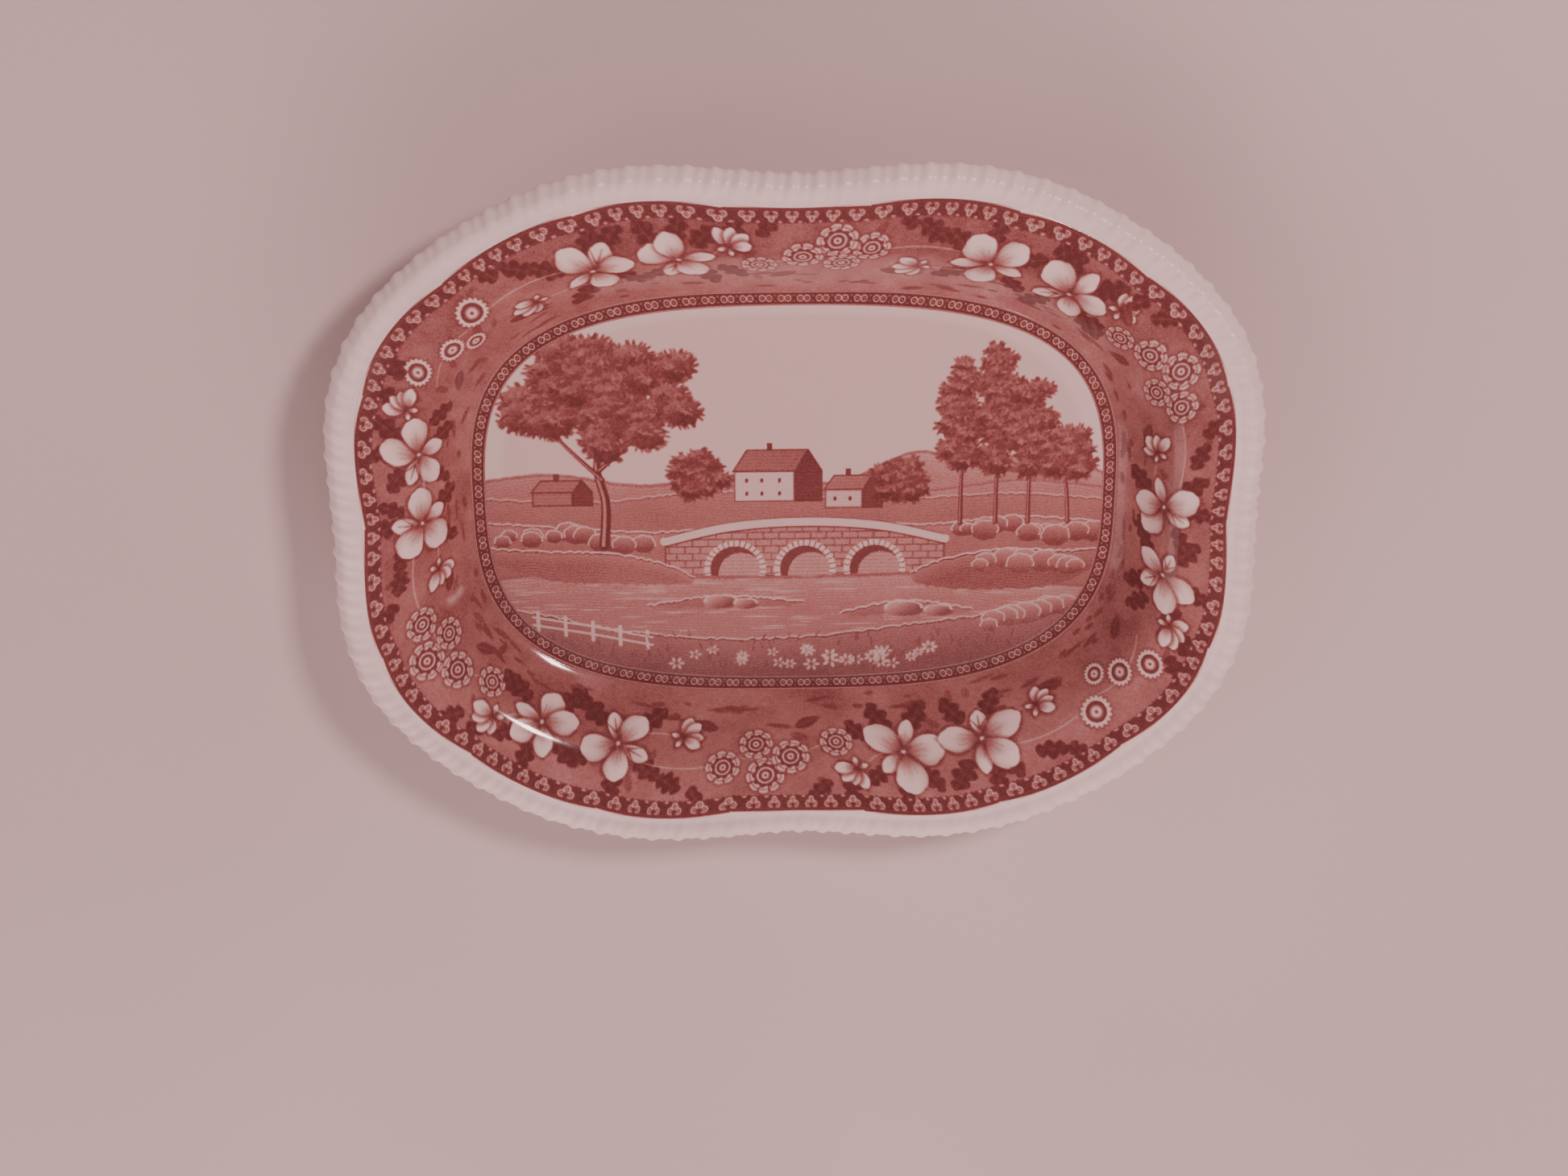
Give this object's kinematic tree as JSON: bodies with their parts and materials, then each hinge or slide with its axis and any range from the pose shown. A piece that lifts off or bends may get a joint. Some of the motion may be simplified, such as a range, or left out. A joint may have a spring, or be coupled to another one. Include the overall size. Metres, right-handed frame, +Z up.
{
  "type": "serving platter",
  "caption": "Rounded rectangular china serving platter with a flat well, a lobed rim, a fluted white edge and printed decoration under a clear glaze.",
  "frame": {"origin": "on the table, under the centre of the platter", "axes": "+Z up out of the well, +X along the length, +Y towards the top of the printed landscape"},
  "size_m": [0.36, 0.2798, 0.0404],
  "materials": {
    "white_glaze": "clear gloss glaze over an off-white body",
    "landscape_print": "red line-engraved print on off-white, under gloss glaze",
    "floral_print": "red stippled floral print under gloss glaze",
    "chain_print": "dark red printed band with pale loops under gloss glaze"
  },
  "bodies": {
    "root": {"body": "white_glaze", "foot_ring": "white_glaze", "gadroon_edge": "white_glaze", "centre_print": "landscape_print", "inner_chain": "chain_print", "border_print": "floral_print", "outer_chain": "chain_print"}
  },
  "joints": []
}
